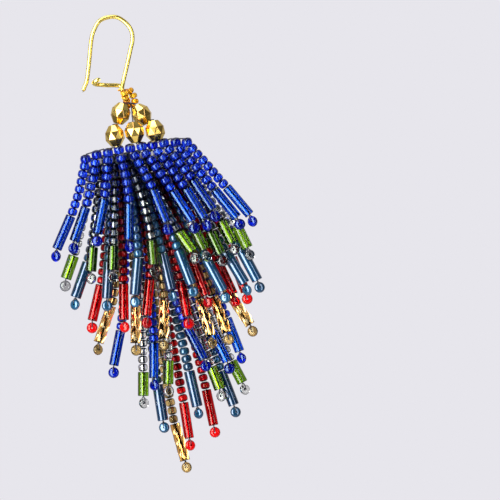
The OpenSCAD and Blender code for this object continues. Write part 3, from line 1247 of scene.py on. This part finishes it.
@dataclass
class Head:
    """The bead loop, the faceted beads and the bare thread."""

    wire: EarWire
    fringe: Fringe
    loop_w: float = 1.5
    loop_h: float = 3.4
    loop_outer: float = 0.74
    loop_string_r: float = 0.6
    loop_count: int = 8
    head_x: float = 2.35
    head_back: float = 1.9
    row_top: float = 0.9
    gold_d: float = 3.7
    gold_h: float = 4.0
    gold_gap: float = 0.1
    thread_r: float = 0.13
    thread_top: float = 0.72
    thread_past: float = 0.15
    ring_gap: float = 0.14
    ring_r: float = 0.1

    def loop_line(self) -> list[Vector]:
        """Lays out the bead loop.

        Returns:
            Its points from the right end to the left end.
        """
        # Shares of the loop's width, its width again and its height.
        shares = (
            (0.74, 0, 0), (1.1, 0.03, 0.2), (1.3, 0.07, 0.47), (1.34, 0.1, 0.74), (1.17, 0.12, 0.94),
            (0.8, 0.12, 1), (0.48, 0.06, 0.91), (0.37, -0.14, 0.7), (0.28, -0.66, 0.49), (0.22, -1.14, 0.27),
            (0.2, -1.33, 0.04),
        )
        pivot = self.wire.pivot
        return [pivot + Vector((x * self.loop_w, y * self.loop_w, -z * self.loop_h)) for x, y, z in shares]

    def gold_places(self) -> list[tuple[Vector, float, float]]:
        """Places the faceted beads.

        Returns:
            The middle, the turn and the lean to the right of each.
        """
        pitch, rise = self.gold_d + self.gold_gap, self.gold_h + self.gold_gap
        fringe = self.fringe
        middle = Vector((self.head_x, fringe.base_y + self.head_back, fringe.top_z + self.row_top + self.gold_h / 2))
        # Columns: across and back in pitches, up in rises, turn and lean in degrees.
        table = (
            (-0.56, 0.47, 0.99, 10, 24), (0.46, 0.47, 0.79, 35, -24), (-1, 0, 0, 28, 0), (0.01, -0.29, 0, 0, 0),
            (1.02, -0.03, -0.07, 17, 0),
        )
        return [(middle + Vector((x * pitch, y * pitch, z * rise)), turn, lean) for x, y, z, turn, lean in table]

    def build(self) -> None:
        """Builds the loop's seed beads, the faceted beads and the thread."""
        self.build_loop()
        bead = FacetedBead(self.gold_d, self.gold_h)
        for number, (at, turn, lean) in enumerate(self.gold_places(), 1):
            place = Place(Matrix.Translation(at * MM) @ turned(lean, "Y") @ turned(turn, "Z"), 0.5)
            bead.place(FACET_GOLD, WORN_EDGE, [place], f"faceted_bead_{number}", f"gold_bead_{number}")
        self.build_thread()

    def build_loop(self) -> None:
        """Strings seed beads along the loop."""
        chance = random.Random(SEED + 1)
        line = smooth_line(self.loop_line(), steps=12)
        lengths = [0.0]
        for a, b in zip(line, line[1:]):
            lengths.append(lengths[-1] + (b - a).length)
        pitch = lengths[-1] / self.loop_count
        places: list[Place] = []
        for i in range(self.loop_count):
            at = next(n for n, length in enumerate(lengths) if length >= (i + 0.5) * pitch)
            way = (line[min(at + 3, len(line) - 1)] - line[at - 3]).normalized()
            places.append(bead_place(line[at], way, 1.0, 1.0, chance))
        bead = SeedBead(self.loop_outer, pitch - self.fringe.seed_gap, hole=0.3, sides=14, rim=0.38)
        bead.place(LOOP_GLASS, BRASS_LINING, places, "loop_seeds", "hanging_loop")

    def thread_lines(self) -> list[list[Vector]]:
        """Lays out the bare thread in the head.

        Returns:
            Its routes in millimetres, first the one in the eye.
        """
        golds = self.gold_places()
        fringe = self.fringe
        half_row = (len(STRAND_TABLE[0]) - 1) * fringe.bead_pitch / 2
        pivot = self.wire.pivot
        loop = self.loop_line()

        def mouth(number: int, end: int, *shift: float, past: float = 0.0) -> Vector:
            """Finds a place by a faceted bead's bore.

            Args:
                number: The bead's number.
                end: 1 for the upper mouth of the bore, -1 for the lower one.
                *shift: Shift to the right, back and up.
                past: How far past the mouth it lies along the bore.

            Returns:
                The place.
            """
            at, _, lean = golds[number - 1]
            reach = end * (self.gold_h / 2 + self.thread_past + past)
            bore = Vector((sin(radians(lean)), 0, cos(radians(lean))))
            return near(at + reach * bore, *shift)

        def near(place: Vector, x: float = 0, y: float = 0, z: float = 0) -> Vector:
            """Returns a place shifted by some millimetres."""
            return place + Vector((x, y, z))

        def on_row(share: float, y: float = 0.0, z: float = 0.0) -> Vector:
            """Returns a place on the top row of stitched beads, at a share of half its width."""
            top = fringe.top_z + self.thread_top - fringe.sag(share)
            return Vector((fringe.base_x + share * half_row, fringe.base_y + y, top + z))

        def by_loop(across: float, ahead: float, down: float) -> Vector:
            """Returns a place in front of the bead loop."""
            return near(pivot, across * self.loop_w, -self.loop_string_r - ahead, -down * self.loop_h)

        in_eye = [
            loop[0], pivot, near(pivot, -0.55, 0, 0), near(pivot, -0.74, -0.2, 0.02), near(pivot, -0.74, -1.2, 0.05),
            near(pivot, -0.5, -1.75, 0.12), near(loop[-1], -0.12, -0.02, 0.1), loop[-1],
        ]
        row_to_row = [
            on_row(-0.98), on_row(-0.62), on_row(-0.62, 0.75, -0.12), mouth(3, -1, -0.9, -0.3, -0.05),
            mouth(3, -1, 0, 0, -0.05), mouth(3, 1), mouth(3, 1, 0.4, 0.85, 0.06),
            mouth(1, -1), mouth(1, 1), by_loop(0.67, 0.6, 0.81), by_loop(1.2, 0.15, 0.85), mouth(2, 1),
            mouth(2, -1, past=0.8), mouth(2, -1, 0.1, -0.15, 0.15, past=0.8), mouth(5, 1, -0.5, 0.86, 0.06),
            mouth(5, 1), mouth(5, -1, 0, 0, -0.05), mouth(5, -1, 0.9, -0.35, -0.05),
            on_row(0.62, 0.75, -0.12), on_row(0.7), on_row(0.98),
        ]
        middle = [
            mouth(4, -1, 0, 0.05, -0.05), mouth(4, 1), mouth(4, 1, 0.07, 0.67, 1.3),
            mouth(4, 1, 0.12, 1.82, 2.6), by_loop(0.8, 0.02, 0.9),
        ]
        return [in_eye, row_to_row, middle]

    def end_thread(self, strand: Strand, turn: Matrix) -> list[Piece]:
        """Makes the thread in a strand's bugle bead and the ring of it through the end bead.

        Args:
            strand: The strand.
            turn: The turn of its end bead.

        Returns:
            The ring and the straight part.
        """
        fringe = self.fringe
        end = strand.end_matrix()
        middle = -fringe.end_drop + fringe.end_outer - fringe.end_thick / 2
        radius = fringe.end_thick / 2 + self.ring_gap
        select()
        bpy.ops.mesh.primitive_torus_add(
            major_segments=14, minor_segments=6, major_radius=radius * MM, minor_radius=self.ring_r * MM
        )
        ring = bpy.context.object
        ring.data.transform(end @ Matrix.Translation((0, 0, middle * MM)) @ turn @ turned(90, "Y"))
        line = [strand.bugle_matrix().translation, end.translation, end @ Vector((0, 0, (middle + radius) * MM))]
        return [ring, tube("strand_thread", line, self.thread_r * MM, sides=6)]

    def build_thread(self) -> None:
        """Builds all bare thread as one piece; its part in the eye has the loop's colour."""
        in_eye, *parts = [
            tube(f"head_thread_{n}", [p * MM for p in line], self.thread_r * MM, sides=8)
            for n, line in enumerate(self.thread_lines())
        ]
        for row in ROWS:
            for column, strand in enumerate(self.fringe.strands(row), 1):
                parts += self.end_thread(strand, self.fringe.end_turn(row, column))
        for part in parts:
            give_finishes(part, THREAD)
        give_finishes(in_eye, LOOP_THREAD)
        deliver(join("beading_thread", parts + [in_eye]), Body.DROP, THREAD.slot, "thread")


# ---------------- studio


BACKDROP = (0.8, 0.79, 0.84)
# Light of the room by direction, from the viewer's side and below to the far side and above.
ROOM = [(0.4, (0.03, 0.03, 0.035)), (0.62, (0.24, 0.24, 0.26)), (0.9, (0.6, 0.59, 0.63))]


@dataclass(frozen=True)
class Lamp:
    """A soft light, with its place and size in metres and its power in watts."""

    name: str
    place: Triple
    size: tuple[float, float]
    power: float
    colour: Triple

    def build(self, aim: Triple) -> None:
        """Adds the light.

        Args:
            aim: The place that it points at.
        """
        select()
        bpy.ops.object.light_add(type="AREA", location=self.place)
        lamp = bpy.context.object
        lamp.name = lamp.data.name = self.name
        lamp.data.shape = "RECTANGLE"
        lamp.data.size, lamp.data.size_y = self.size
        lamp.data.energy = self.power
        lamp.data.color = self.colour
        lamp.rotation_euler = (Vector(aim) - Vector(self.place)).to_track_quat("-Z", "Y").to_euler()


LAMPS = (
    Lamp("key_light", (-0.24, -0.32, 0.02), (0.26, 0.6), 6.5, (1.0, 0.98, 0.95)),
    Lamp("fill_light", (0.26, -0.3, -0.02), (0.07, 0.5), 0.7, (0.93, 0.96, 1.0)),
    Lamp("top_light", (-0.05, -0.12, 0.3), (0.2, 0.2), 0.6, (1.0, 1.0, 1.0)),
)


@dataclass
class Studio:
    """Pale floor, soft light and the camera at the photograph's angle."""

    mm_per_pixel: float = 0.19
    frame_pixels: int = 500
    roll: float = 9.0
    origin_pixel: tuple[float, float] = (107.5, 20.0)
    shift_right: float = 0.5
    distance: float = 0.55
    middle: Triple = (0.002, 0.0, -0.044)
    floor_radius: float = 1.2
    floor_z: float = -0.6

    def build(self) -> None:
        """Builds floor, world, lights and camera."""
        self.build_floor()
        self.build_world()
        for lamp in LAMPS:
            lamp.build(self.middle)
        self.build_camera()
        bpy.context.scene.view_settings.view_transform = "Standard"

    def build_floor(self) -> None:
        """Builds the pale floor well below the earring."""
        select()
        bpy.ops.mesh.primitive_circle_add(
            vertices=96, radius=self.floor_radius, fill_type="NGON", location=(0, 0, self.floor_z)
        )
        bpy.ops.object.transform_apply(location=True, rotation=False, scale=False)
        floor = bpy.context.object
        floor.name = "floor"
        cloth = bpy.data.materials.new("pale_floor")
        sheet = NodeSheet(cloth)
        colour = sheet.ramp(sheet.noise(scale=6.0), [(0.3, (0.78, 0.78, 0.82)), (0.7, (0.84, 0.84, 0.87))])
        sheet.set(Base_Color=colour, Roughness=0.8)
        floor.data.materials.append(cloth)

    def build_world(self) -> None:
        """Builds a world that the camera sees as a pale backdrop and that lights as a room does."""
        world = bpy.data.worlds.new("studio")
        bpy.context.scene.world = world
        sheet = NodeSheet(world, "Background")
        way = sheet.add("ShaderNodeTexCoord").outputs["Generated"]
        split = sheet.add("ShaderNodeSeparateXYZ", Vector=way).outputs
        far = sheet.maths("MULTIPLY_ADD", split["Z"], 0.4, split["Y"])
        room = sheet.ramp(sheet.span(far, From_Min=-1.0), ROOM)
        seen = sheet.add("ShaderNodeLightPath").outputs["Is Camera Ray"]
        sheet.set(Color=sheet.blend(seen, room, BACKDROP))

    def build_camera(self) -> None:
        """Adds the camera so that the earring stands in the frame as in the photograph."""
        select()
        bpy.ops.object.camera_add()
        camera = bpy.context.object
        camera.name = "camera"
        roll = radians(self.roll)
        right, up = Vector((cos(roll), 0, -sin(roll))), Vector((sin(roll), 0, cos(roll)))
        look = Vector((0, 1, 0))
        half = self.frame_pixels / 2
        across = (half - self.origin_pixel[0]) * self.mm_per_pixel
        down = (half - self.origin_pixel[1]) * self.mm_per_pixel
        middle = (right * across - up * down + Vector((self.shift_right, 0, 0))) * MM
        turn = Matrix((right, up, -look)).transposed().to_4x4()
        camera.matrix_world = Matrix.Translation(middle - look * self.distance) @ turn
        frame_width = self.frame_pixels * self.mm_per_pixel * MM
        camera.data.lens = camera.data.sensor_width * self.distance / frame_width
        camera.data.clip_start, camera.data.clip_end = 0.01, 10.0
        bpy.context.scene.camera = camera


def main() -> None:
    """Builds every piece of the earring and the studio around it."""
    logging.basicConfig(level=logging.INFO, format="%(name)s: %(message)s")
    wire = EarWire()
    fringe = Fringe()
    Studio().build()
    wire.build()
    Head(wire, fringe).build()
    fringe.build()


if __name__ == "__main__":
    main()
